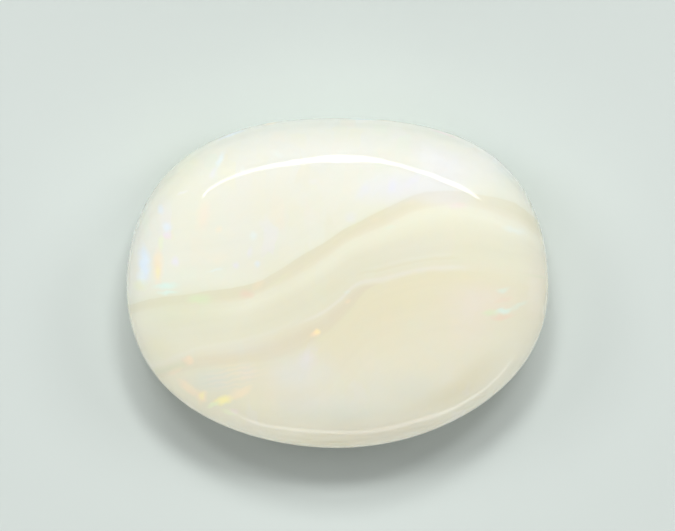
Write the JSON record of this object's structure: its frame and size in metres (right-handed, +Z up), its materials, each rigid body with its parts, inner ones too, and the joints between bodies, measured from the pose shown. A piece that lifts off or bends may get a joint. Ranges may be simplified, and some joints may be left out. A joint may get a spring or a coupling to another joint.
{
  "type": "oval opal cabochon",
  "caption": "Polished oval white opal cabochon: one milky stone with a low domed face, rounded shoulder and flat back, banded and flecked with soft play of colour.",
  "frame": {"origin": "middle of the stone's outline, on the flat back that it lies on", "axes": "+Z up, out of the domed face; +X along the long axis of the oval; +Y across it, towards the fuller side of the outline"},
  "size_m": [0.014, 0.011, 0.0049],
  "materials": {
    "white_opal": "milky, translucent at the edge and polished to a high gloss, with wavy cream layers and faint flecks of blue, green and orange"
  },
  "bodies": {
    "root": {"opal": "white_opal"}
  },
  "joints": []
}
